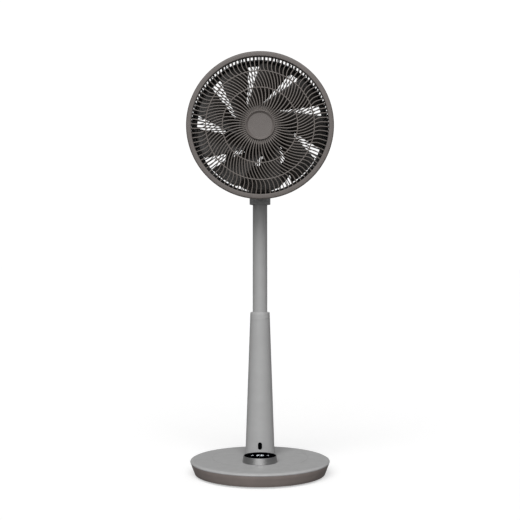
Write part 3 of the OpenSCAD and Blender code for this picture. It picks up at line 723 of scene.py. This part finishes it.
def make_digits():
    """Two lit digits side by side in the middle of the display."""
    half_w, half_h, half_bar = 2.4 * MM, 5.4 * MM, 0.65 * MM
    digit_x = 4.9 * MM
    parts = []
    for digit, x in (("2", -digit_x), ("6", digit_x)):
        for key in DIGITS[digit]:
            u, v, lying = DIGIT_BARS[key]
            half_x, half_y = (half_w - half_bar * 0.4, half_bar) if lying else (half_bar, half_h / 2)
            parts.append(tablet(x + 2 * u * half_w, dial_y + v * half_h, half_x, half_y))
    return make_piece("display_digits", *joined(*parts), "stand", "display_glass")


def make_icons():
    """A small rotor sign on the left, an arrow on the right, and a dot."""
    icon_x = 17.5 * MM
    lobe_r = tip_x = 1.9 * MM  # from a sign's middle to its lobes, and to the head of the arrow
    dot = 0.7 * MM
    parts = []
    for degrees in (90, 210, 330):
        x, y = polar(lobe_r, degrees)
        parts.append(tablet(x - icon_x, y + dial_y, 1.5 * MM, 0.8 * MM, degrees))
    parts.append(tablet(icon_x, dial_y, 2.6 * MM, 0.6 * MM))
    for side in (-1, 1):
        barb_y = dial_y - side * 0.9 * MM
        parts.append(tablet(icon_x + tip_x, barb_y, 1.4 * MM, 0.5 * MM, side * 40))
    parts.append(tablet(0, dial_y - 17 * MM, dot, dot))
    return make_piece("display_icons", *joined(*parts), "stand", "display_glass")


# ---- camera, light and floor --------------------------------------------------------------

eye_distance = 2.296
eye_height = 0.502
eye_dip = 0.25  # degrees below level
lens_mm = 69.23

backdrop_light = 1.05  # the world as the eye sees it, just over white
surround_light = 0.25  # the world as it lights the object
floor_white = 0.6
floor_glow = 0.495  # lifts the floor that the eye sees to the white of the backdrop
floor_bounce = 0.25  # the floor as it lights the object


def make_camera():
    camera = bpy.data.cameras.new("camera")
    camera.lens = lens_mm
    camera.sensor_width = 36
    eye = bpy.data.objects.new("camera", camera)
    eye.location = (0, -eye_distance, eye_height)
    eye.rotation_euler = (math.radians(90 - eye_dip), 0, 0)
    bpy.context.scene.collection.objects.link(eye)
    bpy.context.scene.camera = eye


def make_sun(name, elevation, azimuth, strength, softness):
    """Sun that shines from an elevation and an azimuth, 0 being the front, with a disc as wide as
    its softness in degrees."""
    sun = bpy.data.lights.new(name, "SUN")
    sun.energy = strength
    sun.angle = math.radians(softness)
    lamp = bpy.data.objects.new(name, sun)
    lamp.rotation_euler = (math.radians(90 - elevation), 0, math.radians(azimuth))
    bpy.context.scene.collection.objects.link(lamp)


def show_to_eye(tree, others, seen, surface):
    """Feeds a surface with one shader for the camera's rays and another for all other rays."""
    path = tree.nodes.new("ShaderNodeLightPath")
    mix = tree.nodes.new("ShaderNodeMixShader")
    tree.links.new(path.outputs["Is Camera Ray"], mix.inputs["Fac"])
    tree.links.new(others, mix.inputs[1])
    tree.links.new(seen, mix.inputs[2])
    tree.links.new(mix.outputs["Shader"], surface)


def make_world():
    """White backdrop for the eye, and a softer grey surround that lights the object."""
    world = bpy.data.worlds.new("studio")
    bpy.context.scene.world = world
    world.use_nodes = True
    tree = world.node_tree
    tree.nodes.clear()
    shaders = []
    for strength in (surround_light, backdrop_light):
        shader = tree.nodes.new("ShaderNodeBackground")
        shader.inputs["Color"].default_value = (1, 1, 1, 1)
        shader.inputs["Strength"].default_value = strength
        shaders.append(shader.outputs["Background"])
    out = tree.nodes.new("ShaderNodeOutputWorld")
    show_to_eye(tree, *shaders, out.inputs["Surface"])


def make_floor():
    """A wide white floor that runs into the backdrop."""
    mesh = bpy.data.meshes.new("floor")
    reach = 40
    corners = [(-reach, -reach, 0), (reach, -reach, 0), (reach, reach, 0), (-reach, reach, 0)]
    mesh.from_pydata(corners, [], [(0, 1, 2, 3)])
    finish = Finish("floor")
    finish.colour((floor_white, floor_white, floor_white, 1), 0.004, 300 * MM)
    finish.roughness(0.9, 0.03, 200 * MM)
    finish.shader.inputs["Specular IOR Level"].default_value = 0.0
    finish.shader.inputs["Emission Color"].default_value = (1, 1, 1, 1)
    finish.shader.inputs["Emission Strength"].default_value = floor_glow
    tree = finish.tree
    dull = tree.nodes.new("ShaderNodeBsdfDiffuse")
    dull.inputs["Color"].default_value = (floor_bounce, floor_bounce, floor_bounce, 1)
    surface = tree.nodes["Material Output"].inputs["Surface"]
    show_to_eye(tree, dull.outputs["BSDF"], finish.shader.outputs["BSDF"], surface)
    mesh.materials.append(finish.material)
    floor = bpy.data.objects.new("floor", mesh)
    bpy.context.scene.collection.objects.link(floor)


# ---- build --------------------------------------------------------------------------------

bpy.context.scene.view_settings.view_transform = "Standard"
make_camera()
make_world()
make_sun("key", elevation=45, azimuth=-6, strength=2.5, softness=52)
make_sun("fill", elevation=8, azimuth=-4, strength=1.05, softness=60)
make_floor()

finish_cad_nodes()
for name, width in {
    "neck_shell": 1.2 * MM,
    "neck_rear_cover": 1.2 * MM,
    "yoke_frame": 1.0 * MM,
    "yoke_rear_cover": 0.7 * MM,
    "pod_front_shell": 0.5 * MM,
    "pod_rear_shell": 0.6 * MM,
    "base_skirt": 0.3 * MM,
}.items():
    soften(name, width)
for node in nodes.values():
    smooth_by_angle(node.data)

make_front_guard()
make_rear_guard()
make_impeller()
make_trim_ring()
make_hub_dish()
for lit, level in ((make_digits(), 0.62), (make_icons(), 0.34)):
    lit.data.materials.clear()
    lit.data.materials.append(glowing(lit.name, display_grey(226, 232, 240), level))
